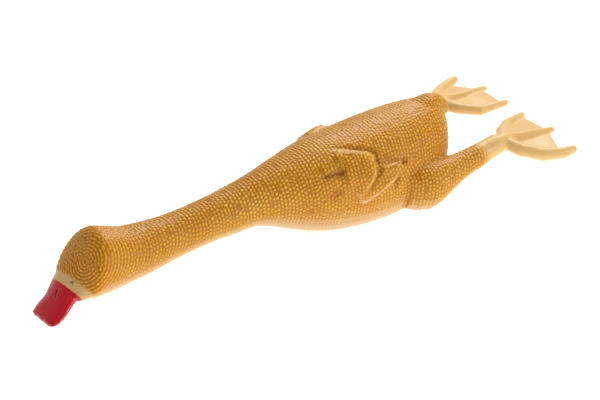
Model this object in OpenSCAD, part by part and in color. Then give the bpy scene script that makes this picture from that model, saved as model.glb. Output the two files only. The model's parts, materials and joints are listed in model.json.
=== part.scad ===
// Rubber duck prop: a hollow moulded latex bird lying on its belly, with a red
// bill, two webbed feet stretched out behind, and a squeaker plugged into the
// belly. Millimetres. The bird faces -X, its feet point to +X, +Z is up and
// -Y is the bird's left side. The belly and the bill rest on z = 0.

/* [Skin] */
// wall of the latex moulding
wall = 2.6; // [1.5:0.1:4]
// wall of the slimmer leg tubes
leg_wall = 2.2; // [1.5:0.1:3]
// joint line between two regions of the skin
seam = 0.1; // [0.05:0.01:0.3]
/* [Neck bends] */
// length of the bending ring at the root of the neck
root_bend = 17; // [12:1:20]
// length of each bending ring along the neck
neck_bend = 14; // [10:1:16]
// length of the bending ring behind the head
nape_bend = 15; // [10:1:18]

/* [Leg bends] */
// length of the bending ring where the leg leaves the body
hip_bend = 9; // [6:1:12]
// length of the bending ring at the knee
knee_bend = 7; // [5:1:10]
// length of the bending ring at the ankle
ankle_bend = 7; // [5:1:10]

/* [Squeaker] */
// where the squeaker sits along the body
squeak_x = 22; // [15:1:30]
// radius of the hole in the belly
squeak_r = 9; // [6:0.5:12]
// height of the squeaker housing
squeak_h = 14; // [8:1:20]
// wall of the squeaker housing
squeak_wall = 1.4; // [1:0.1:2]
// radius of the sound hole in the cap
sound_r = 2; // [1:0.1:3]

/* [Hidden] */
sides = 28;      // facets around body and neck
leg_sides = 20;  // facets around the legs

// Cross sections along the bird:
// [x, y, z, half width, up, down, pitch, yaw]
body_line = [
  [-228, -3.0, 29, 27.2, 26.8, 24.8, -6, 4],
  [-212, -2.5, 30, 24.2, 19.5, 24.3, 0, 2],
  [-190, -1.5, 30, 20.3, 17.5, 22.3, 0, 1],
  [-165, -0.5, 32, 17.5, 16, 19.5, 0, 0],
  [-140, -0.3, 35.5, 17.5, 16, 18.2, 0, 0],
  [-115, 0, 39, 19, 17.5, 19.6, 0, 0],
  [-92, 0, 42, 21, 21, 21, 0, 0],
  [-65, 0, 42, 30, 29, 31, 0, 0],
  [-35, 0, 42, 39, 37, 40, 0, 0],
  [0, 0, 43, 44, 41, 43.6, 0, 0],
  [35, 0, 46, 43, 43, 43, 0, 0],
  [62, 0, 51, 36, 40, 36, 0, 0],
  [75, 0, 57, 26.5, 33, 26, 0, 0],
  [82, 0, 61, 16, 25, 16, 0, 0]];
head_line = [
  [-257, -9, 13.2, 13, 6.5, 5, -20, 14],
  [-252.8, -8, 16.8, 17, 12, 9, -20, 13],
  [-247.2, -6, 20.8, 23.8, 21.6, 13.8, -18, 11],
  [-239.5, -4, 25, 27.8, 27.4, 19.5, -14, 7],
  [-228, -3, 29, 27.2, 26.8, 24.8, -6, 4],
  [-212, -2.5, 30, 24.2, 19.5, 24.3, 0, 2],
  [-190, -1.5, 30, 20.3, 17.5, 22.3, 0, 1]];
// left leg; the right one is its mirror image
leg_line = [
  [22, -26, 38, 18.5, 18, 21, 0, 0],
  [42, -37.2, 37.2, 20.8, 19, 23.2, 5, 0],
  [60, -41, 41.8, 15.2, 14.5, 15, 14, 0],
  [76, -42.3, 46.5, 11.5, 10.6, 10.5, 20, 0],
  [90, -43.3, 51.3, 10.2, 9.2, 10.4, 21, 0],
  [102, -44, 55.5, 9.6, 8.2, 9.8, 20, 0],
  [113, -45, 59.5, 9.6, 8, 9.4, 14, 0]];
wing_line = [
  [-46, -30, 55, 3, 7, 9, 0, 0],
  [-38, -33, 55, 8, 15, 17, 0, 0],
  [-22, -37, 53, 10, 20, 24, 0, 0],
  [-4, -41, 54, 10, 16, 18, 0, 0],
  [12, -44, 57, 8, 9, 10, 0, 0],
  [22, -46, 59, 5, 5, 5, 0, 0],
  [26, -46, 60, 2, 2, 2, 0, 0]];
tail_line = [
  [58, 0, 84, 12, 6, 10, -12, 0],
  [69, 0, 86, 11, 9, 10, -16, 0],
  [78, 0, 84.5, 9.5, 9.5, 10, -26, 0],
  [86, 0, 79, 6.5, 7.5, 9, -42, 0],
  [90, 0, 74, 2.5, 4, 5, -58, 0]];
upper_bill_line = [
  [-257.15, -9.04, 13.25, 13.5, 6.8, 0.7, -20, 14],
  [-261.8, -11, 10.8, 15, 6, 0.8, -24, 14],
  [-267.5, -13.8, 7.8, 16.2, 4.8, 0.8, -26, 13],
  [-273.8, -16.9, 5.2, 16.6, 3.4, 0.8, -26, 11],
  [-280, -19.8, 3.6, 14.2, 1.6, 0.6, -26, 9]];
lower_bill_line = [
  [-257.85, -9.2, 11.5, 12.5, 0.4, 4.2, -20, 14],
  [-262.2, -11.1, 9, 13.8, 0.4, 4, -24, 14],
  [-267.5, -13.8, 6, 14.8, 0.4, 3.6, -26, 13],
  [-273.8, -16.9, 3.4, 14.8, 0.4, 3, -26, 11],
  [-278.2, -18.9, 2.6, 12.6, 0.4, 2.4, -26, 9]];
// toes: [x, y, z, radius]; the soft right foot lies turned a little differently from the left
outer_toe = [[117.3, -47, 59, 6], [124, -60, 56, 6], [138, -72.5, 53.5, 6],
  [152, -79, 54, 5.2], [161, -81, 56, 3.8]];
middle_toe = [[117.3, -45, 60.5, 6], [128, -45.5, 60, 5], [146, -46.5, 59.5, 4.2], [166, -48, 59, 3]];
inner_toe = [[117.3, -43, 60.8, 6], [126, -31.5, 60, 5.2], [141, -19, 58.8, 4.6], [164, -11, 58.5, 3.2]];
right_outer_toe = [[117.3, -47, 59, 6], [124, -60, 56.5, 6], [138, -72.5, 54.5, 6],
  [152, -79, 55.8, 5.2], [161, -81, 58.3, 3.8]];
right_middle_toe = [[117.3, -45, 60.5, 6], [128, -45.5, 60, 5],
  [146, -46.5, 59.8, 4.2], [169, -48, 60, 3]];
right_inner_toe = [[117.3, -42, 60, 6], [126, -28.5, 58.4, 5.4],
  [141, -16.5, 57.4, 4.8], [165, -13, 60.6, 3.2]];
web_r = 1.3;   // half thickness of the webs

latex = [0.80, 0.58, 0.22];
red = [0.72, 0.03, 0.07];
plastic = [0.92, 0.92, 0.88];
metal = [0.78, 0.66, 0.38];

// ---- smooth interpolation between cross sections ----
function spline(a, b, c, d, t) = 0.5 * (2 * b + (c - a) * t
  + (2 * a - 5 * b + 4 * c - d) * t * t + (3 * b - a - 3 * c + d) * t * t * t);
function station(line, u) =
  let (n = len(line) - 1, i = min(floor(u), n - 1), t = u - i)
  spline(line[max(i - 1, 0)], line[i], line[i + 1], line[min(i + 2, n)], t);
// the parameter at which the line reaches a given x, found by halving
function find_u(line, x, lo, hi, k = 0) = k > 26 ? (lo + hi) / 2 :
  let (mid = (lo + hi) / 2, rising = line[len(line) - 1][0] > line[0][0])
  (station(line, mid)[0] < x) == rising
    ? find_u(line, x, mid, hi, k + 1)
    : find_u(line, x, lo, mid, k + 1);
function u_at(line, x) = find_u(line, x, 0, len(line) - 1);

// ---- one cross section as a ring of points, pulled in by the wall ----
function ring(s, n, inset = 0) =
  let (p = s[6], q = s[7],
       side = [-sin(q), cos(q), 0],
       ahead = [cos(p) * cos(q), cos(p) * sin(q), sin(p)],
       over = cross(ahead, side))
  [for (i = [0:n - 1]) let (t = 360 * i / n)
    [s[0], s[1], s[2]] - cos(t) * (s[3] - inset) * side
      + sin(t) * ((sin(t) >= 0 ? s[4] : s[5]) - inset) * over];
function flat_list(v) = [for (a = v) for (b = a) b];
// side faces between consecutive rings, starting at point number o
function band(o, k, n) = [for (j = [0:k - 2]) for (i = [0:n - 1])
  [o + j * n + i, o + (j + 1) * n + i, o + (j + 1) * n + (i + 1) % n, o + j * n + (i + 1) % n]];
function back(f) = [for (a = f) [for (i = [len(a) - 1:-1:0]) a[i]]];
// faces wound so that they look outward, whichever way the line runs
function outward(stations, f) = stations[0][0] < stations[len(stations) - 1][0] ? back(f) : f;
function steps(line, u0, u1, k) = [for (j = [0:k]) station(line, u0 + (u1 - u0) * j / k)];

// a solid along a line
module bar(stations, n) {
  k = len(stations);
  pts = flat_list([for (s = stations) ring(s, n)]);
  polyhedron(pts, outward(stations, concat(band(0, k, n), [[for (i = [0:n - 1]) i]],
    [[for (i = [n - 1:-1:0]) (k - 1) * n + i]])), convexity = 6);
}
// a tube with both ends open
module tube(stations, n, w) {
  k = len(stations);
  m = k * n;
  pts = concat(flat_list([for (s = stations) ring(s, n)]), flat_list([for (s = stations) ring(s, n, w)]));
  ends = flat_list([for (i = [0:n - 1]) let (j = (i + 1) % n, e = (k - 1) * n)
    [[i, j, m + j, m + i], [e + i, m + e + i, m + e + j, e + j]]]);
  polyhedron(pts, outward(stations, concat(band(0, k, n), back(band(m, k, n)), ends)), convexity = 8);
}
// a tube closed at its last section; the cavity stops one wall short of it
module bag(stations, n, w) {
  k = len(stations);
  inner = [for (j = [0:k - 2]) stations[j]];
  m = k * n;
  e = (k - 1) * n;
  g = m + (k - 2) * n;
  pts = concat(flat_list([for (s = stations) ring(s, n)]), flat_list([for (s = inner) ring(s, n, w)]));
  mouth = [for (i = [0:n - 1]) let (j = (i + 1) % n) [i, j, m + j, m + i]];
  polyhedron(pts, outward(stations, concat(band(0, k, n), back(band(m, k - 1, n)), mouth,
    [[for (i = [n - 1:-1:0]) e + i]], [[for (i = [0:n - 1]) g + i]])), convexity = 8);
}
module right_side() { mirror([0, 1, 0]) children(); }

// ---- body and neck ----
root_x = -88;      // neck bends about these places
low_x = -114;
mid_x = -140;
high_x = -166;
nape_x = -196;
function bu(x) = u_at(body_line, x);
module neck_tube(x0, x1, k) { tube(steps(body_line, bu(x0), bu(x1), k), sides, wall); }
// a bending ring: the length of skin around one bending place
module neck_ring(x, bend) { color(latex) neck_tube(x - bend / 2 + seam, x + bend / 2 - seam, 3); }
module neck_length(x0, x1, bend) { color(latex) neck_tube(x0 + neck_bend / 2, x1 - bend / 2, 2); }
torso_start = root_x + root_bend / 2;
torso_stations = concat(steps(body_line, bu(torso_start), len(body_line) - 4, 12),
  [for (j = [1:9]) station(body_line, len(body_line) - 4 + j / 3)]);
module torso_solid() { bar(torso_stations, sides); }

module torso_skin() {
  color(latex) difference() {
    bag(torso_stations, sides, wall);
    translate([0, 0, -50]) cube([300, 200, 100], center = true);
    translate([squeak_x, 0, -10]) cylinder(r = squeak_r + 0.03, h = 30, $fn = 48);
  }
}
module neck_root_flex() { neck_ring(root_x, root_bend); }
module neck_lower() { neck_length(low_x, root_x, root_bend); }
module neck_lower_flex() { neck_ring(low_x, neck_bend); }
module neck_middle() { neck_length(mid_x, low_x, neck_bend); }
module neck_middle_flex() { neck_ring(mid_x, neck_bend); }
module neck_upper() { neck_length(high_x, mid_x, neck_bend); }
module neck_upper_flex() { neck_ring(high_x, neck_bend); }
module neck_top() { color(latex) neck_tube(nape_x + nape_bend / 2, high_x - neck_bend / 2, 2); }
module nape_flex() { neck_ring(nape_x, nape_bend); }

// ---- wings and tail, moulded onto the torso ----
module wing() { bar(steps(wing_line, 0, len(wing_line) - 1, 14), 20); }
// what is left of a shape outside the torso
module outside_torso() { color(latex) difference() { children(); torso_solid(); } }
module left_wing() { outside_torso() wing(); }
module right_wing() { outside_torso() right_side() wing(); }
module tail() { outside_torso() bar(steps(tail_line, 0, len(tail_line) - 1, 8), 16); }

// ---- head and bill ----
function hu(x) = u_at(head_line, x);
head_stations = concat(steps(body_line, bu(nape_x - nape_bend / 2), bu(-212), 2),
  [for (j = [1:10]) station(head_line, 5 - j / 2)]);
module head_skin() { color(latex) bag(head_stations, sides, wall); }
module upper_bill() { color(red) bar(steps(upper_bill_line, 0, len(upper_bill_line) - 1, 8), 20); }
module lower_bill() { color(red) bar(steps(lower_bill_line, 0, len(lower_bill_line) - 1, 8), 20); }

// ---- squeaker, pushed into the belly from outside ----
squeak_z = 2.2;   // underside of the housing, clear of the floor
module squeaker_housing() {
  color(plastic) translate([squeak_x, 0, squeak_z]) difference() {
    union() {
      cylinder(r = squeak_r, h = squeak_h, $fn = 48);
      translate([0, 0, 5.5]) cylinder(r = squeak_r + 2, h = 1.6, $fn = 48);
    }
    translate([0, 0, 2]) cylinder(r = squeak_r - squeak_wall, h = squeak_h, $fn = 48);
    translate([0, 0, -1]) cylinder(r = 3, h = 5, $fn = 32);
  }
}
module squeaker_cap() {
  color(plastic) translate([squeak_x, 0, squeak_z + squeak_h]) difference() {
    union() {
      cylinder(r = squeak_r, h = 1.6, $fn = 48);
      translate([0, 0, -2.4]) cylinder(r = squeak_r - squeak_wall - 0.05, h = 2.5, $fn = 48);
    }
    translate([0, 0, -3]) cylinder(r = sound_r, h = 6, $fn = 24);
  }
}
module reed_seat() {
  color(plastic) translate([squeak_x, 0, squeak_z + 2]) difference() {
    cylinder(r = 4.6, h = 6, $fn = 32);
    translate([0, 0, -1]) cylinder(r = 3, h = 8, $fn = 32);
    translate([-6, 0.6, 2]) cube([12, 8, 5]);
  }
}
module squeaker_reed() {
  color(metal) translate([squeak_x - 2, 0, squeak_z + 4]) cube([4, 0.5, 6]);
}

// ---- legs ----
hip_x = 73;
knee_x = 88;
ankle_x = 106;
function lu(x) = u_at(leg_line, x);
module leg_tube(x0, x1, k) { tube(steps(leg_line, lu(x0), lu(x1), k), leg_sides, leg_wall); }
module leg_ring(x, bend) { leg_tube(x - bend / 2 + seam, x + bend / 2 - seam, 2); }
module thigh() { leg_tube(26, hip_x - hip_bend / 2, 6); }
module left_thigh() { outside_torso() thigh(); }
module right_thigh() { outside_torso() right_side() thigh(); }
module left_hip_flex() { outside_torso() leg_ring(hip_x, hip_bend); }
module right_hip_flex() { outside_torso() right_side() leg_ring(hip_x, hip_bend); }
module left_drumstick() { color(latex) leg_tube(hip_x + hip_bend / 2, knee_x - knee_bend / 2, 2); }
module left_knee_flex() { color(latex) leg_ring(knee_x, knee_bend); }
module left_shank() { color(latex) leg_tube(knee_x + knee_bend / 2, ankle_x - ankle_bend / 2, 2); }
module left_ankle_flex() { color(latex) leg_ring(ankle_x, ankle_bend); }
module right_drumstick() { right_side() left_drumstick(); }
module right_knee_flex() { right_side() left_knee_flex(); }
module right_shank() { right_side() left_shank(); }
module right_ankle_flex() { right_side() left_ankle_flex(); }

// ---- webbed feet ----
module knuckle(p) { translate([p[0], p[1], p[2]]) sphere(r = p[3], $fn = 12); }
module toe(line) { for (i = [0:len(line) - 2]) hull() { knuckle(line[i]); knuckle(line[i + 1]); } }
module web_edge(p) { translate([p[0], p[1], p[2] - 0.5]) sphere(r = web_r, $fn = 8); }
// the web hangs between two toes and is hollowed a little at its free edge
module web(a, b) {
  for (i = [1:2]) hull() {
    for (p = [a[i - 1], a[i], b[i - 1], b[i]]) web_edge(p);
  }
  near_a = a[3] * 0.9 + a[2] * 0.1;
  near_b = b[3] * 0.8 + b[2] * 0.2;
  hollow = (a[3] + b[3]) / 2 - [3, 0, 0, 0];
  hull() for (p = [a[2], b[2], near_a, near_b, hollow]) web_edge(p);
}
foot_start = station(leg_line, lu(ankle_x + ankle_bend / 2));
module foot(outer, middle, inner) {
  color(latex) union() {
    hull() {
      bar([foot_start, station(leg_line, lu(ankle_x + ankle_bend / 2 + 1))], leg_sides);
      knuckle(middle[0]);
    }
    toe(outer);
    toe(middle);
    toe(inner);
    web(outer, middle);
    web(inner, middle);
  }
}
module left_foot() { foot(outer_toe, middle_toe, inner_toe); }
module right_foot() { right_side() foot(right_outer_toe, right_middle_toe, right_inner_toe); }

torso_skin();
left_wing();
right_wing();
tail();
left_thigh();
right_thigh();
squeaker_housing();
squeaker_cap();
reed_seat();
squeaker_reed();
neck_root_flex();
neck_lower();
neck_lower_flex();
neck_middle();
neck_middle_flex();
neck_upper();
neck_upper_flex();
neck_top();
nape_flex();
head_skin();
upper_bill();
lower_bill();
left_hip_flex();
left_drumstick();
left_knee_flex();
left_shank();
left_ankle_flex();
left_foot();
right_hip_flex();
right_drumstick();
right_knee_flex();
right_shank();
right_ankle_flex();
right_foot();
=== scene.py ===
"""Rubber duck prop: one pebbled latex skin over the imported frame, a glossy red bill, soft white studio."""

import json
import math

import bmesh
import bpy
import numpy as np
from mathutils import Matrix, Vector, kdtree
from mathutils.bvhtree import BVHTree


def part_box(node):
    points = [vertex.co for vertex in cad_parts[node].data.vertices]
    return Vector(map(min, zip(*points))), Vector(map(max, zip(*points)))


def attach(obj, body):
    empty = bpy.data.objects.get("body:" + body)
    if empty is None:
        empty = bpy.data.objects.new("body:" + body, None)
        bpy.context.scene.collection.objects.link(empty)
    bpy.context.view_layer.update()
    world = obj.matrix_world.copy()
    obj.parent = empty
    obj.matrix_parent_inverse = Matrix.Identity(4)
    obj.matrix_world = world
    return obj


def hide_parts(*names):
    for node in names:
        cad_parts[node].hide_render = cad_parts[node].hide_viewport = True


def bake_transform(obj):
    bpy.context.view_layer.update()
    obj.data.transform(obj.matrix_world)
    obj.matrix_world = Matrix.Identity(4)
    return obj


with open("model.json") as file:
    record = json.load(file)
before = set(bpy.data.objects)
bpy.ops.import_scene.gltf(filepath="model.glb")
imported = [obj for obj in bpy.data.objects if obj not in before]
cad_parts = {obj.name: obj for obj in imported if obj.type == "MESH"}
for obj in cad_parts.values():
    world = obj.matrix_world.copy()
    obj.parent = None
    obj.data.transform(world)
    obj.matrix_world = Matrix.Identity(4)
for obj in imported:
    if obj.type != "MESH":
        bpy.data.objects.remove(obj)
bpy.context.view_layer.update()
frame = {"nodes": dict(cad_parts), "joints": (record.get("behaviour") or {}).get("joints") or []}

MM = 0.001
rng = np.random.default_rng(7)

# ---- sizes of the skin's detail, in metres ----
VOXEL = 1.4 * MM          # grid on which the regions melt into one skin
ROW = 2.85 * MM           # from one ring of pebbles to the next
PITCH = 3.25 * MM         # from one pebble to the next along a ring
PEBBLE = 0.9 * MM         # how far a pebble stands above the groove
PEBBLE_EDGE = 1.45 * MM   # width of a pebble's rounded edge
JITTER = 0.22 * MM        # how unevenly the pebbles sit
RING_JITTER = 0.2         # the same along a ring, as a share of the pitch
OVERLAP = 0.35 * MM       # how far each region reaches into the next before they melt together
SMOOTHING_ROUNDS = 9
MOST_FRONTS = 700         # more than the distance along the skin ever needs to settle

JOINTS = {j["name"]: j for j in frame["joints"]}
SIDES = {"left": -1, "right": 1}


def joint_place(name):
    return Vector(JOINTS[name]["pos_m"])


# ---- the skin's solids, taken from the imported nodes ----
def node_points(node):
    mesh = frame["nodes"][node].data
    points = np.empty(len(mesh.vertices) * 3)
    mesh.vertices.foreach_get("co", points)
    return points.reshape(-1, 3)


def hull(points):
    """A closed convex solid round the points."""
    bm = bmesh.new()
    for p in points:
        bm.verts.new(p)
    made = bmesh.ops.convex_hull(bm, input=bm.verts)
    spare = {g for g in made["geom_interior"] + made["geom_unused"]}
    bmesh.ops.delete(bm, geom=list(spare), context="VERTS")
    bmesh.ops.recalc_face_normals(bm, faces=bm.faces)
    mesh = bpy.data.meshes.new("solid")
    bm.to_mesh(mesh)
    bm.free()
    return mesh


def filled(node):
    """A tube node as a solid, a little longer at both ends so that neighbours overlap."""
    p = node_points(node)
    x = p[:, 0]
    reach = (x.max() - x.min()) / 2
    p[:, 0] += (x - (x.max() + x.min()) / 2) / reach * OVERLAP
    return hull(p)


def ball_points(place, r):
    """Points of a small ball, for hulls over a few balls."""
    out = []
    for i in range(5):
        polar = math.pi * (i + 0.5) / 5
        for k in range(10):
            turn = 2 * math.pi * k / 10
            out.append([place[0] + r * math.sin(polar) * math.cos(turn),
                        place[1] + r * math.sin(polar) * math.sin(turn),
                        place[2] + r * math.cos(polar)])
    return out


def pad(balls, side):
    """A rounded pad over balls given in millimetres as (x, distance from the middle, z, radius)."""
    points = []
    for x, y, z, r in balls:
        points += ball_points((x * MM, side * y * MM, z * MM), r * MM)
    return hull(np.array(points))


# the folded wing lies in two layers: a short upper lobe over a long lower one that ends in the wing tip;
# places in millimetres as (x, distance from the middle plane, z, radius)
UPPER_LOBE = [(-29, 22, 72, 4), (-19, 26, 72, 4.5), (-11, 31, 69.5, 5), (-8, 37, 64, 5),
              (-12, 42, 57.5, 5.5), (-18, 41.5, 50, 5), (-27, 38, 60, 4), (-27, 36.5, 52, 4)]
LOWER_LOBE = [(15, 43.5, 62, 4), (2, 42.5, 61, 4), (6, 45.5, 56, 4), (-5, 45, 49, 4.5),
              (-16, 42, 42, 4), (-20, 41.5, 50, 5)]

# ridges and creases as (x, distance from the middle plane, z); each is snapped to the skin
UPPER_RIM = [(-33, 16, 76.3), (-20.5, 22, 75.8), (-12, 26.5, 74.3), (-6, 29.5, 73), (-2.8, 33, 71),
             (-3.7, 38.5, 67.7), (-7.8, 44, 62), (-14, 47, 55.5), (-18.5, 47.5, 48.5), (-22, 46.5, 43)]
TIP_RIM = [(1, 40, 66), (11, 41.5, 67.5), (19.5, 42.5, 66), (20, 46, 61.5), (13, 48.5, 56), (5, 49, 50),
           (-4, 48.5, 44)]
WING_MIDDLE = (-16, 36, 60)
ARMPIT = [(-50, 28, 62), (-43, 33, 65), (-37, 37, 68), (-32, 38.5, 69.5)]
POCKET = [(-42, 38, 52), (-38, 39, 46)]
THIGH_TOP = [(26, 45, 66), (21, 47, 62), (17, 48, 56), (13, 48, 49), (11, 46, 41)]
THIGH_HOLLOW = [(26, 47, 55), (34, 48, 53)]
PARTING = [(-250.8, 23.3, 14.8), (-229, 27.5, 18.5), (-202, 22, 22.8), (-179, 18.3, 27), (-157, 16.4, 29.9),
           (-131, 16.8, 32), (-106, 18, 34.3), (-85, 21, 33.5), (-67, 28, 33), (-56, 32, 34), (-44, 36, 35),
           (-31, 37, 27), (-12, 37, 21), (5, 39, 24), (14, 39, 22)]
# the head lies turned, so these two are given as (x, y, z)
EYE = [(-251.6, -13.2, 23.6), (-253.2, -11, 22.6)]
NOSTRIL = [(-261.2, -6.4, 16.6), (-263.6, -8.6, 14.8), (-265, -11.8, 13)]


def skin_solids():
    meshes = []
    for node in ("torso_skin", "tail", "head_skin", "neck_root_flex", "neck_lower", "neck_lower_flex",
                 "neck_middle", "neck_middle_flex", "neck_upper", "neck_upper_flex", "neck_top",
                 "nape_flex", "upper_bill", "lower_bill"):
        meshes.append(filled(node))
    # the cheeks run straight from the face into the bill
    face = node_points("head_skin")
    bill = node_points("upper_bill")
    face = face[face[:, 0] < head_box[0][0] + 8 * MM]
    meshes.append(hull(np.concatenate([face, bill[bill[:, 0] > bill[:, 0].min() + 12 * MM]])))
    for side, sign in SIDES.items():
        for part in ("thigh", "hip_flex", "drumstick", "knee_flex", "shank", "ankle_flex"):
            meshes.append(filled(side + "_" + part))
        meshes.append(frame["nodes"][side + "_foot"].data)
        meshes.append(pad(UPPER_LOBE, sign))
        meshes.append(pad(LOWER_LOBE, sign))
    return meshes


def as_polygons(mesh):
    return [tuple(v.co) for v in mesh.vertices], [tuple(p.vertices) for p in mesh.polygons]


def melt(meshes):
    """All solids as one closed surface on an even grid."""
    bm = bmesh.new()
    for mesh in meshes:
        bm.from_mesh(mesh)
    mesh = bpy.data.meshes.new("solids")
    bm.to_mesh(mesh)
    bm.free()
    obj = bpy.data.objects.new("solids", mesh)
    bpy.context.scene.collection.objects.link(obj)
    remesh = obj.modifiers.new("melt", "REMESH")
    remesh.mode = "VOXEL"
    remesh.voxel_size = VOXEL
    return obj


def applied(obj):
    """The object's mesh with its modifiers, in place of the object."""
    graph = bpy.context.evaluated_depsgraph_get()
    mesh = bpy.data.meshes.new_from_object(obj.evaluated_get(graph))
    bpy.data.objects.remove(obj)
    return mesh


def arrays(mesh):
    points = np.empty(len(mesh.vertices) * 3)
    mesh.vertices.foreach_get("co", points)
    edges = np.empty(len(mesh.edges) * 2, int)
    mesh.edges.foreach_get("vertices", edges)
    return points.reshape(-1, 3), edges.reshape(-1, 2)


def relaxed(points, edges, rounds):
    """Evens the surface out without shrinking it: each round smooths, then swells back."""
    degree = np.bincount(edges.ravel(), minlength=len(points))[:, None]
    for _ in range(rounds):
        for share in (0.5, -0.52):
            total = np.zeros_like(points)
            for axis in range(3):
                total[:, axis] = np.bincount(edges[:, 0], points[edges[:, 1], axis], len(points))
                total[:, axis] += np.bincount(edges[:, 1], points[edges[:, 0], axis], len(points))
            points = points + share * (total / degree - points)
    return points


def triangles(mesh):
    mesh.calc_loop_triangles()
    t = np.empty(len(mesh.loop_triangles) * 3, int)
    mesh.loop_triangles.foreach_get("vertices", t)
    return t.reshape(-1, 3)


def travel(points, tris, crown):
    """Distance along the skin from the crown of the head, by repeated fronts across the triangles."""
    far = np.full(len(points), 10.0)
    gap = np.linalg.norm(points - crown, axis=1)
    near = gap < 4 * VOXEL
    far[near] = gap[near]
    corners = np.concatenate([tris, tris[:, [1, 2, 0]], tris[:, [2, 0, 1]]])
    a, b, c = corners.T
    # c is reached from the side a-b, unfolded flat
    ab = points[b] - points[a]
    ac = points[c] - points[a]
    length = np.linalg.norm(ab, axis=1)
    along = (ab * ac).sum(1) / length
    height = np.sqrt(np.maximum((ac * ac).sum(1) - along * along, 1e-16))
    side_a = np.linalg.norm(ac, axis=1)
    side_b = np.linalg.norm(points[c] - points[b], axis=1)
    for _ in range(MOST_FRONTS):
        slope = np.clip((far[b] - far[a]) / length, -0.999, 0.999)
        rise = np.sqrt(1 - slope * slope)
        entry = along - height * slope / rise
        through = far[a] + slope * along + rise * height
        inside = (entry >= 0) & (entry <= length)
        guess = np.where(inside, through, np.minimum(far[a] + side_a, far[b] + side_b))
        before = far.copy()
        np.minimum.at(far, c, guess)
        if np.abs(before - far).max() < 1e-6:
            break
    return far


def level_loops(points, tris, far, level):
    """The closed or open curves where the distance is exactly this level."""
    above = far[tris] > level
    crossing = tris[(above.sum(1) == 1) | (above.sum(1) == 2)]
    links, places = {}, {}
    for tri in crossing:
        ends = []
        for i, j in ((0, 1), (1, 2), (2, 0)):
            p, q = sorted((int(tri[i]), int(tri[j])))
            if (far[p] > level) != (far[q] > level):
                share = (level - far[p]) / (far[q] - far[p])
                places[p, q] = points[p] + share * (points[q] - points[p])
                ends.append((p, q))
        links.setdefault(ends[0], []).append(ends[1])
        links.setdefault(ends[1], []).append(ends[0])
    loops = []
    left = set(links)
    while left:
        start = min(left)
        left.discard(start)
        loop = [start]
        while True:
            ahead = [e for e in links[loop[-1]] if e in left]
            if not ahead:
                break
            loop.append(ahead[0])
            left.discard(ahead[0])
        loops.append(np.array([places[e] for e in loop + [start]]))
    return loops


def pebble_centres(points, tris, far):
    """Places of the pebbles: evenly along rings round the crown, every other ring half a step on.

    Each row is x, y, z and the ring's distance from the crown."""
    centres = []
    crossing_level = 0.9 * ROW
    ring = 0
    while crossing_level < far[far < 5].max():
        for loop in level_loops(points, tris, far, crossing_level):
            step = np.linalg.norm(np.diff(loop, axis=0), axis=1)
            run = np.concatenate([[0], np.cumsum(step)])
            pitch = PITCH * (1.25 - 0.25 * min(1, crossing_level / (40 * MM)))
            count = int(round(run[-1] / pitch))
            if count < 3:
                continue
            uneven = RING_JITTER * rng.standard_normal(count)
            at = (np.arange(count) + 0.5 * (ring % 2) + uneven) % count
            at = at * run[-1] / count
            columns = [np.interp(at, run, loop[:, k]) for k in range(3)]
            centres.append(np.stack(columns + [np.full(count, crossing_level)], axis=1))
        crossing_level += ROW * (0.84 + 0.16 * min(1, crossing_level / (30 * MM)))
        ring += 1
    centres = np.concatenate(centres)
    centres[:, :3] += JITTER * rng.standard_normal((len(centres), 3))
    return centres


def smooth_step(x, low, high):
    t = np.clip((x - low) / (high - low), 0, 1)
    return t * t * (3 - 2 * t)


def near_line(points, line, reach, fade=0.2):
    """For each point, how close it is to a line of points, 1 on it and 0 at reach; both ends fade out."""
    dense = []
    for p, q in zip(line, line[1:]):
        p, q = np.array(p), np.array(q)
        count = max(2, int(np.linalg.norm(q - p) / (0.3 * MM)))
        dense += [p + (q - p) * i / count for i in range(count)]
    to_end = np.minimum(np.arange(len(dense)), np.arange(len(dense))[::-1]) + 1
    strength = np.minimum(1, to_end / (fade * len(dense)))
    tree = kdtree.KDTree(len(dense))
    for i, p in enumerate(dense):
        tree.insert(p, i)
    tree.balance()
    low = np.min(dense, axis=0) - reach
    high = np.max(dense, axis=0) + reach
    close = np.where(((points > low) & (points < high)).all(1))[0]
    value = np.zeros(len(points))
    for i in close:
        place, nearest, gap = tree.find(points[i])
        if gap < reach:
            value[i] = strength[nearest] * (0.5 + 0.5 * math.cos(math.pi * gap / reach))
    return value


# ---- places on the bird ----
hip = {side: joint_place(side + "_hip_pitch") for side in SIDES}
knee = {side: joint_place(side + "_knee_splay") for side in SIDES}
ankle = {side: joint_place(side + "_ankle_pitch") for side in SIDES}
head_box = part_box("head_skin")
bill_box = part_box("upper_bill")
crown = Vector((-241, -13.8, 38)) * MM
bill_root = Vector((-254.5, -11, 17)) * MM
bill_way = Vector((-0.87, -0.19, -0.46)).normalized()


def leg_run(points, side):
    """How far along the leg each point lies, from the hip towards the toes."""
    way = (ankle[side] - hip[side]).normalized()
    return (points - np.array(hip[side])) @ np.array(way)


def store(mesh, name, values):
    layer = mesh.attributes.get(name) or mesh.attributes.new(name, "FLOAT", "POINT")
    layer.data.foreach_set("value", np.asarray(values, np.float32))


def stored(mesh, name):
    values = np.empty(len(mesh.vertices), np.float32)
    mesh.attributes[name].data.foreach_get("value", values)
    return values


def build_skin():
    coarse = applied(melt(skin_solids()))
    points, edges = arrays(coarse)
    points = relaxed(points, edges, SMOOTHING_ROUNDS)
    coarse.vertices.foreach_set("co", points.ravel())
    tris = triangles(coarse)
    far = travel(points, tris, np.array(crown))
    centres = pebble_centres(points, tris, far)
    store(coarse, "far", far)
    obj = bpy.data.objects.new("skin", coarse)
    bpy.context.scene.collection.objects.link(obj)
    finer = obj.modifiers.new("finer", "SUBSURF")
    finer.levels = 1
    finer.render_levels = 1
    return applied(obj), centres


skin_mesh, centres = build_skin()


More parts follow.
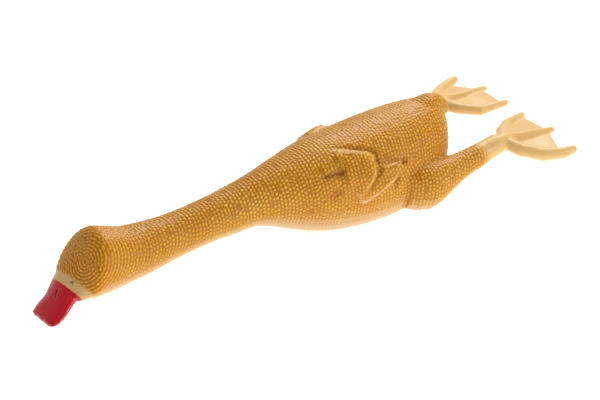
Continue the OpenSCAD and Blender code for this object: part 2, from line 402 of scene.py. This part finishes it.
def normals_of(mesh):
    n = np.empty(len(mesh.vertices) * 3)
    mesh.vertices.foreach_get("normal", n)
    return n.reshape(-1, 3)


def mirrored(line, sign):
    return [(x * MM, sign * y * MM, z * MM) for x, y, z in line]


def widened(line, by):
    """A wing outline moved outward over the body by some millimetres."""
    out = []
    for p in line:
        way = (Vector(p) - Vector(WING_MIDDLE)).normalized()
        out.append(tuple(Vector(p) + way * by))
    return out


def snapped(line, tree):
    """The line in short steps, each laid on the surface."""
    out = []
    for p, q in zip(line, line[1:]):
        p, q = Vector(p), Vector(q)
        count = max(1, round((q - p).length / (1.5 * MM)))
        out += [tree.find_nearest(p.lerp(q, i / count))[0] for i in range(count)]
    return out + [tree.find_nearest(Vector(line[-1]))[0]]


def carve(mesh):
    """Raises the pebbles, sinks the creases, and keeps what the colours need at each point."""
    points, edges = arrays(mesh)
    normal = normals_of(mesh)
    surface = BVHTree.FromPolygons(points.tolist(), faces_of(mesh).tolist())
    tree = kdtree.KDTree(len(centres))
    for i, c in enumerate(centres):
        tree.insert(c[:3], i)
    tree.balance()
    hits = [tree.find_n(p, 2) for p in points]
    border = np.array([(second[2] - first[2]) / 2 for first, second in hits])
    ring = centres[[first[1] for first, second in hits], 3]
    off_ring = np.clip(np.abs(stored(mesh, "far") - ring) / (ROW / 2), 0, 1)
    # grooves between the pebbles; on head and neck they are deeper from ring to ring than along a ring
    ringed = 0.45 - 0.35 * smooth_step(ring, 20 * MM, 60 * MM)
    groove = np.clip((1.1 - ringed) * (1 - border / PEBBLE_EDGE).clip(0) + ringed * off_ring ** 2, 0, 1)

    def drawn(lines, reach):
        """How close each point is to the nearest of these lines, on both sides of the bird."""
        value = np.zeros(len(points))
        for sign in SIDES.values():
            for line in lines:
                laid = snapped(mirrored(line, sign), surface)
                value = np.maximum(value, near_line(points, laid, reach * MM))
        return value

    rims = drawn([UPPER_RIM, TIP_RIM], 3.2)
    moats = drawn([widened(UPPER_RIM, 3.4), widened(TIP_RIM, 3.4)], 3.6) * (1 - rims)
    pits = np.maximum(drawn([ARMPIT], 4), drawn([THIGH_TOP], 3.6))
    pocket = np.maximum(drawn([POCKET], 9), 0.6 * drawn([THIGH_HOLLOW], 10))
    seams = drawn([PARTING], 1.3)
    marks = np.zeros(len(points))
    for line in (EYE, NOSTRIL):
        laid = snapped(mirrored(line, 1), surface)
        marks = np.maximum(marks, near_line(points, laid, 1.25 * MM, 0.05))
    lower_bill = BVHTree.FromPolygons(*as_polygons(filled("lower_bill")))
    upper_bill = BVHTree.FromPolygons(*as_polygons(filled("upper_bill")))
    mouth, under = np.zeros(len(points)), np.zeros(len(points))
    for i in np.where(points[:, 0] < bill_box[1][0] + 2 * MM)[0]:
        place = Vector(points[i])
        lead = lower_bill.find_nearest(place)[3] - upper_bill.find_nearest(place)[3]
        mouth[i] = max(0, 1 - abs(lead) / (0.5 * MM))
        under[i] = lead < 0

    # smooth where the moulding has no pebbles: bill, face beside it, shanks and feet
    ahead = (points - np.array(bill_root)) @ np.array(bill_way)
    amount = 1 - smooth_step(ahead, -9 * MM, -5 * MM)
    bare = np.zeros(len(points))
    for side, sign in SIDES.items():
        run = leg_run(points, side)
        on_leg = (np.sign(points[:, 1]) == sign) & (np.abs(points[:, 1]) > 12 * MM)
        on_leg |= (np.sign(points[:, 1]) == sign) & (points[:, 0] > ankle[side].x)
        on_leg &= points[:, 0] > hip[side].x + 8 * MM
        fade = smooth_step(run, 17 * MM, 30 * MM)
        amount = np.where(on_leg, np.minimum(amount, 1 - fade), amount)
        bare = np.where(on_leg, np.maximum(bare, fade), bare)
    amount = amount * (1 - 0.9 * seams) * (1 - 0.5 * rims)
    lift = PEBBLE * amount * (0.6 - groove)
    lift += 0.5 * MM * rims - 1.3 * MM * moats - 2.0 * MM * pits - 1.2 * MM * pocket - 0.3 * MM * seams
    lift -= 0.8 * MM * mouth + 0.7 * MM * marks
    points += normal * lift[:, None]
    mesh.vertices.foreach_set("co", points.ravel())
    mesh.update()

    # the ochre is spray-painted from above, so underneath the pale latex shows; this paleness, set by which
    # way the surface faces, is also painted light bounced up from the white floor
    spray_and_bounce_light = smooth_step(normal[:, 2], -0.8, -0.1)
    # groove colour: partly the ochre wash pooled between the pebbles, partly painted shade in the grooves
    store(mesh, "groove", amount * groove)
    # painted shade in the creases outside the wing outlines and in the pits
    store(mesh, "crease_shade", np.clip(0.8 * moats + pits, 0, 1))
    # the pockets are sunk and also get painted shade
    store(mesh, "pocket", pocket)
    # painted highlight along the raised wing rims
    store(mesh, "rim_highlight", rims)
    store(mesh, "seam", seams)
    store(mesh, "head", 1 - smooth_step(stored(mesh, "far"), 15 * MM, 55 * MM))
    store(mesh, "marks", marks)
    store(mesh, "mouth", mouth)
    store(mesh, "spray_and_bounce_light", spray_and_bounce_light)
    store(mesh, "bare", np.maximum(bare, smooth_step(ahead, -9 * MM, -5 * MM)))
    store(mesh, "underbill", under)


def faces_of(mesh):
    corners = np.empty(len(mesh.loops), int)
    mesh.loops.foreach_get("vertex_index", corners)
    return corners.reshape(-1, 4)


LAYERS = ("groove", "crease_shade", "pocket", "rim_highlight", "head", "seam", "marks", "mouth", "spray_and_bounce_light", "bare",
          "underbill")


carve(skin_mesh)


# ---- materials ----
def new_material(name):
    material = bpy.data.materials.new(name)
    material.use_nodes = True
    nodes, links = material.node_tree.nodes, material.node_tree.links
    return material, nodes, links, nodes["Principled BSDF"]


def mixed(nodes, links, factor, a, b):
    """A colour mix node; factor, a and b are sockets or values."""
    node = nodes.new("ShaderNodeMix")
    node.data_type = "RGBA"
    for socket, value in ((node.inputs["Factor"], factor), (node.inputs["A"], a), (node.inputs["B"], b)):
        if isinstance(value, bpy.types.NodeSocket):
            links.new(value, socket)
        else:
            socket.default_value = value
    return node.outputs["Result"]


def attribute(nodes, name):
    node = nodes.new("ShaderNodeAttribute")
    node.attribute_name = name
    return node.outputs["Fac"]


def noise(nodes, links, scale, detail=2.0):
    place = nodes.new("ShaderNodeTexCoord")
    cloud = nodes.new("ShaderNodeTexNoise")
    cloud.inputs["Scale"].default_value = scale
    cloud.inputs["Detail"].default_value = detail
    links.new(place.outputs["Object"], cloud.inputs["Vector"])
    return cloud.outputs["Fac"]


def spread(nodes, links, value, low, high):
    """The value stretched so that low becomes 0 and high becomes 1."""
    node = nodes.new("ShaderNodeMapRange")
    node.inputs["From Min"].default_value = low
    node.inputs["From Max"].default_value = high
    links.new(value, node.inputs["Value"])
    return node.outputs["Result"]


def times(nodes, links, a, b):
    node = nodes.new("ShaderNodeMath")
    node.operation = "MULTIPLY"
    node.use_clamp = True
    for socket, value in zip(node.inputs, (a, b)):
        if isinstance(value, bpy.types.NodeSocket):
            links.new(value, socket)
        else:
            socket.default_value = value
    return node.outputs["Value"]


def fine_bump(nodes, links, shader, scale, distance, strength):
    bump = nodes.new("ShaderNodeBump")
    bump.inputs["Distance"].default_value = distance
    bump.inputs["Strength"].default_value = strength
    links.new(noise(nodes, links, scale, 3.0), bump.inputs["Height"])
    links.new(bump.outputs["Normal"], shader.inputs["Normal"])


def latex():
    """Ochre latex: cloudy golden pebbles; brown in the grooves, partly the pooled wash and partly painted
    shade; pale below, partly thinner spray and partly painted light bounced up from the floor; painted shade
    in the creases and pockets, painted highlight on the wing rims.
    """
    material, nodes, links, shader = new_material("latex")
    cloud = spread(nodes, links, noise(nodes, links, 22), 0.36, 0.62)
    base = mixed(nodes, links, cloud, GOLD_DEEP, GOLD)
    base = mixed(nodes, links, times(nodes, links, attribute(nodes, "head"), 0.75), base, HEAD)
    base = mixed(nodes, links, attribute(nodes, "bare"), base, BARE)
    spray_and_bounce_light = attribute(nodes, "spray_and_bounce_light")
    # pale underneath: thinner spray there, and painted light bounced up from the floor
    base = mixed(nodes, links, spray_and_bounce_light, CREAM, base)
    # painted shade in the pockets under the wing and beside the thigh
    base = mixed(nodes, links, times(nodes, links, attribute(nodes, "pocket"), 0.85), base, POCKET_SHADE)
    # painted highlight along the raised wing rims
    base = mixed(nodes, links, times(nodes, links, attribute(nodes, "rim_highlight"), 0.22), base, CREAM)
    # darker grooves: partly the wash pooled there, partly painted shade; weaker on surfaces facing down
    depth = spread(nodes, links, spray_and_bounce_light, -0.8, 1.0)
    groove = times(nodes, links, attribute(nodes, "groove"), depth)
    colour = mixed(nodes, links, groove, base, GROOVE_WASH_AND_SHADE)
    # painted shade in the creases and pits
    colour = mixed(nodes, links, times(nodes, links, attribute(nodes, "crease_shade"), 0.6), colour, BROWN)
    colour = mixed(nodes, links, times(nodes, links, attribute(nodes, "seam"), 0.7), colour, BROWN)
    colour = mixed(nodes, links, attribute(nodes, "marks"), colour, DARK)
    links.new(colour, shader.inputs["Base Color"])
    shader.inputs["Roughness"].default_value = 0.34
    shader.inputs["Specular IOR Level"].default_value = 0.3
    shader.inputs["Sheen Weight"].default_value = 0.2
    shader.inputs["Sheen Roughness"].default_value = 0.2
    shader.inputs["Sheen Tint"].default_value = (1, 0.88, 0.6, 1)
    fine_bump(nodes, links, shader, 900, 0.0002, 0.25)
    return material


def red_paint():
    """Glossy red paint, darker along the mouth; the lower bill is paler."""
    material, nodes, links, shader = new_material("bill_red")
    cloud = spread(nodes, links, noise(nodes, links, 60), 0.35, 0.7)
    base = mixed(nodes, links, cloud, (0.46, 0.001, 0.008, 1), (0.54, 0.004, 0.016, 1))
    base = mixed(nodes, links, attribute(nodes, "underbill"), base, (0.80, 0.42, 0.40, 1))
    lines = nodes.new("ShaderNodeMath")
    lines.operation = "MAXIMUM"
    links.new(attribute(nodes, "mouth"), lines.inputs[0])
    links.new(attribute(nodes, "marks"), lines.inputs[1])
    colour = mixed(nodes, links, lines.outputs["Value"], base, (0.06, 0.0, 0.004, 1))
    links.new(colour, shader.inputs["Base Color"])
    shader.inputs["Roughness"].default_value = 0.3
    shader.inputs["Coat Weight"].default_value = 0.4
    shader.inputs["Coat Roughness"].default_value = 0.15
    fine_bump(nodes, links, shader, 260, 0.0002, 0.08)
    return material


GOLD = (0.85, 0.49, 0.045, 1)
GOLD_DEEP = (0.76, 0.37, 0.004, 1)
HEAD = (0.74, 0.28, 0.002, 1)
# grooves: the pooled wash and painted shade together
GROOVE_WASH_AND_SHADE = (0.36, 0.12, 0.0, 1)
# painted shade for the pockets under the wing and beside the thigh
POCKET_SHADE = (0.58, 0.15, 0.001, 1)
# painted shade for the creases and pits; also the parting line's own brown
BROWN = (0.24, 0.075, 0.001, 1)
# the pale latex; also painted light on the underside and painted highlight on the wing rims
CREAM = (0.80, 0.62, 0.38, 1)
BARE = (0.64, 0.40, 0.15, 1)
DARK = (0.04, 0.015, 0.004, 1)
LATEX = latex()
RED = red_paint()


# ---- pieces cut from the one skin ----
class Skin:
    """The whole skin as arrays, from which pieces are taken by face."""

    def __init__(self, mesh):
        self.mesh = mesh
        self.points, _ = arrays(mesh)
        self.normals = normals_of(mesh)
        self.tris = triangles(mesh)
        self.faces = faces_of(mesh)
        self.middles = self.points[self.faces].mean(1)
        self.layers = {}
        for layer in LAYERS:
            self.layers[layer] = stored(mesh, layer)

    def piece(self, name, chosen, material):
        faces = self.faces[chosen]
        used, compact = np.unique(faces, return_inverse=True)
        compact = compact.reshape(-1, 4)
        mesh = bpy.data.meshes.new(name)
        mesh.vertices.add(len(used))
        mesh.vertices.foreach_set("co", self.points[used].ravel())
        mesh.loops.add(compact.size)
        mesh.loops.foreach_set("vertex_index", compact.ravel().astype(np.int32))
        mesh.polygons.add(len(compact))
        mesh.polygons.foreach_set("loop_start", np.arange(0, compact.size, 4, dtype=np.int32))
        mesh.update(calc_edges=True)
        for layer, values in self.layers.items():
            store(mesh, layer, values[used])
        mesh.polygons.foreach_set("use_smooth", np.ones(len(compact), bool))
        mesh.normals_split_custom_set_from_vertices(self.normals[used].tolist())
        mesh.materials.append(material)
        obj = bpy.data.objects.new(name, mesh)
        bpy.context.scene.collection.objects.link(obj)
        return obj


skin = Skin(skin_mesh)
x = skin.middles[:, 0]


def leg_faces(side):
    """Faces that belong to the free leg: nearer the leg's solids than the torso's."""
    sign = SIDES[side]
    outward = sign * skin.middles[:, 1]
    zone = (x > hip[side].x - 6 * MM) & (outward > 12 * MM)
    # beyond the ankle only the foot is left, and its inner toe reaches close to the middle
    zone |= (x > ankle[side].x) & (outward > 0)
    torso = BVHTree.FromPolygons(*as_polygons(filled("torso_skin")))
    trees = []
    for part in ("thigh", "hip_flex", "drumstick", "knee_flex", "shank", "ankle_flex"):
        trees.append(BVHTree.FromPolygons(*as_polygons(filled(side + "_" + part))))
    chosen = np.zeros(len(x), bool)
    for i in np.where(zone)[0]:
        place = Vector(skin.middles[i])
        if place.x > knee[side].x:
            chosen[i] = True
            continue
        to_leg = min(tree.find_nearest(place)[3] for tree in trees)
        chosen[i] = to_leg < torso.find_nearest(place)[3]
    return chosen


legs = {side: leg_faces(side) for side in SIDES}
any_leg = legs["left"] | legs["right"]
billed = ((skin.middles - np.array(bill_root)) @ np.array(bill_way) > 0) & (x < head_box[0][0] + 30 * MM)


def cut_between(joint_a, joint_b):
    """The place halfway between two neck joints, inside a stiff length."""
    return (joint_place(joint_a).x + joint_place(joint_b).x) / 2


def bend(piece):
    """Bakes the piece's placement into its mesh."""
    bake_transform(piece)


forward = Vector((-1, 0, 0))
BENDS = {name: forward for name in JOINTS}
for side in SIDES:
    for name in ("_hip_pitch", "_knee_splay", "_ankle_pitch"):
        BENDS[side + name] = (ankle[side] - hip[side]).normalized()

CUTS = [joint_place("neck_root_pitch").x + 12 * MM,
        cut_between("neck_root_pitch", "neck_low_yaw"),
        cut_between("neck_low_yaw", "neck_mid_pitch"),
        cut_between("neck_mid_pitch", "neck_high_yaw"),
        cut_between("neck_high_yaw", "nape_pitch")]

torso_faces = (x > CUTS[0]) & ~any_leg
fore = torso_faces & (x < -5 * MM)
rear = torso_faces & (x >= -5 * MM)
torso_fore = skin.piece("torso_fore", fore, LATEX)
torso_rear = skin.piece("torso_rear", rear, LATEX)
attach(torso_fore, "trunk")
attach(torso_rear, "trunk")
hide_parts("torso_skin", "left_wing", "right_wing")
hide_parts("tail", "left_thigh", "right_thigh")

NECK_PIECES = [("neck_root", "neck_root_pitch", 8.5, ("neck_root_flex",)),
               ("neck_low", "neck_low_yaw", 7, ("neck_lower", "neck_lower_flex")),
               ("neck_mid", "neck_mid_pitch", 7, ("neck_middle", "neck_middle_flex")),
               ("neck_high", "neck_high_yaw", 7, ("neck_upper", "neck_upper_flex"))]
for i, (name, joint, reach, nodes) in enumerate(NECK_PIECES):
    piece = skin.piece(name, (x <= CUTS[i]) & (x > CUTS[i + 1]), LATEX)
    bend(piece)
    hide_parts(*nodes)

head = skin.piece("head", (x <= CUTS[4]) & ~billed, LATEX)
bend(head)
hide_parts("neck_top", "nape_flex", "head_skin")
bill = skin.piece("bill", billed, RED)
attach(bill, "head")
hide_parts("upper_bill", "lower_bill")

for side in SIDES:
    run = leg_run(skin.middles, side)
    at_hip, at_knee, at_ankle = leg_run(np.array([hip[side], knee[side], ankle[side]]), side)
    first = (at_hip + at_knee) / 2 + 0.5 * MM
    second = (at_knee + at_ankle) / 2
    rows = [("_hip", run <= first, "_hip_pitch", 4.7, ("_hip_flex", "_drumstick")),
            ("_shin", (run > first) & (run <= second), "_knee_splay", 3.7, ("_knee_flex", "_shank")),
            ("_foot_skin", run > second, "_ankle_pitch", 3.7, ("_ankle_flex", "_foot"))]
    for name, chosen, joint, reach, nodes in rows:
        piece = skin.piece(side + name, legs[side] & chosen, LATEX)
        bend(piece)
        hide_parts(*[side + n for n in nodes])


# ---- squeaker ----
def plain(name, colour, roughness, metallic=0.0):
    material, nodes, links, shader = new_material(name)
    dark = tuple(c * 0.86 for c in colour[:3]) + (1,)
    links.new(mixed(nodes, links, noise(nodes, links, 180), colour, dark), shader.inputs["Base Color"])
    shader.inputs["Roughness"].default_value = roughness
    shader.inputs["Metallic"].default_value = metallic
    return material


SQUEAKER = plain("squeaker_white", (0.80, 0.79, 0.74, 1), 0.4)
REED = plain("reed_brass", (0.62, 0.45, 0.18, 1), 0.3, 1.0)
for node in ("squeaker_housing", "squeaker_cap", "reed_seat", "squeaker_reed"):
    obj = frame["nodes"][node]
    obj.data.materials.clear()
    obj.data.materials.append(REED if node == "squeaker_reed" else SQUEAKER)


# ---- studio ----
def floor():
    mesh = bpy.data.meshes.new("floor")
    mesh.from_pydata([(-3, -3, 0), (3, -3, 0), (3, 3, 0), (-3, 3, 0)], [], [(0, 1, 2, 3)])
    obj = bpy.data.objects.new("floor", mesh)
    bpy.context.scene.collection.objects.link(obj)
    material, nodes, links, shader = new_material("floor_white")
    shader.inputs["Base Color"].default_value = (0.9, 0.9, 0.9, 1)
    shader.inputs["Roughness"].default_value = 0.9
    shader.inputs["Emission Color"].default_value = (1, 1, 1, 1)
    shader.inputs["Emission Strength"].default_value = 0.66
    mesh.materials.append(material)


def area_light(name, place, target, size, power):
    light = bpy.data.lights.new(name, "AREA")
    light.size = size
    light.energy = power
    obj = bpy.data.objects.new(name, light)
    obj.location = place
    obj.rotation_mode = "QUATERNION"
    obj.rotation_quaternion = (Vector(target) - Vector(place)).to_track_quat("-Z", "Y")
    bpy.context.scene.collection.objects.link(obj)


def surroundings():
    """White walls round the table, dimmer overhead."""
    world = bpy.data.worlds.new("studio")
    world.use_nodes = True
    nodes, links = world.node_tree.nodes, world.node_tree.links
    place = nodes.new("ShaderNodeTexCoord")
    parts = nodes.new("ShaderNodeSeparateXYZ")
    links.new(place.outputs["Generated"], parts.inputs["Vector"])
    height = spread(nodes, links, parts.outputs["Z"], 0.15, 0.7)
    colour = mixed(nodes, links, height, (1, 1, 1, 1), (0.15, 0.15, 0.15, 1))
    links.new(colour, nodes["Background"].inputs["Color"])
    return world


def camera():
    """Long lens, 28 degrees above the table, looking at the bird's left side from its head end."""
    turn, rise, distance = math.radians(-31), math.radians(28), 1.133
    target = Vector((-0.05, 0, 0.030))
    away = Vector((math.sin(turn) * math.cos(rise), -math.cos(turn) * math.cos(rise), math.sin(rise)))
    data = bpy.data.cameras.new("camera")
    data.lens = 85
    obj = bpy.data.objects.new("camera", data)
    obj.location = target + away * distance
    obj.rotation_mode = "QUATERNION"
    obj.rotation_quaternion = (-away).to_track_quat("-Z", "Y")
    bpy.context.scene.collection.objects.link(obj)
    bpy.context.scene.camera = obj


floor()
camera()
area_light("key", (0.6, 0.6, 1.2), (0, 0, 0.03), 0.9, 21)
area_light("fill", (0.6, -1.2, 0.9), (0, 0, 0.03), 0.5, 10)
bpy.context.scene.world = surroundings()
bpy.context.scene.view_settings.view_transform = "Standard"
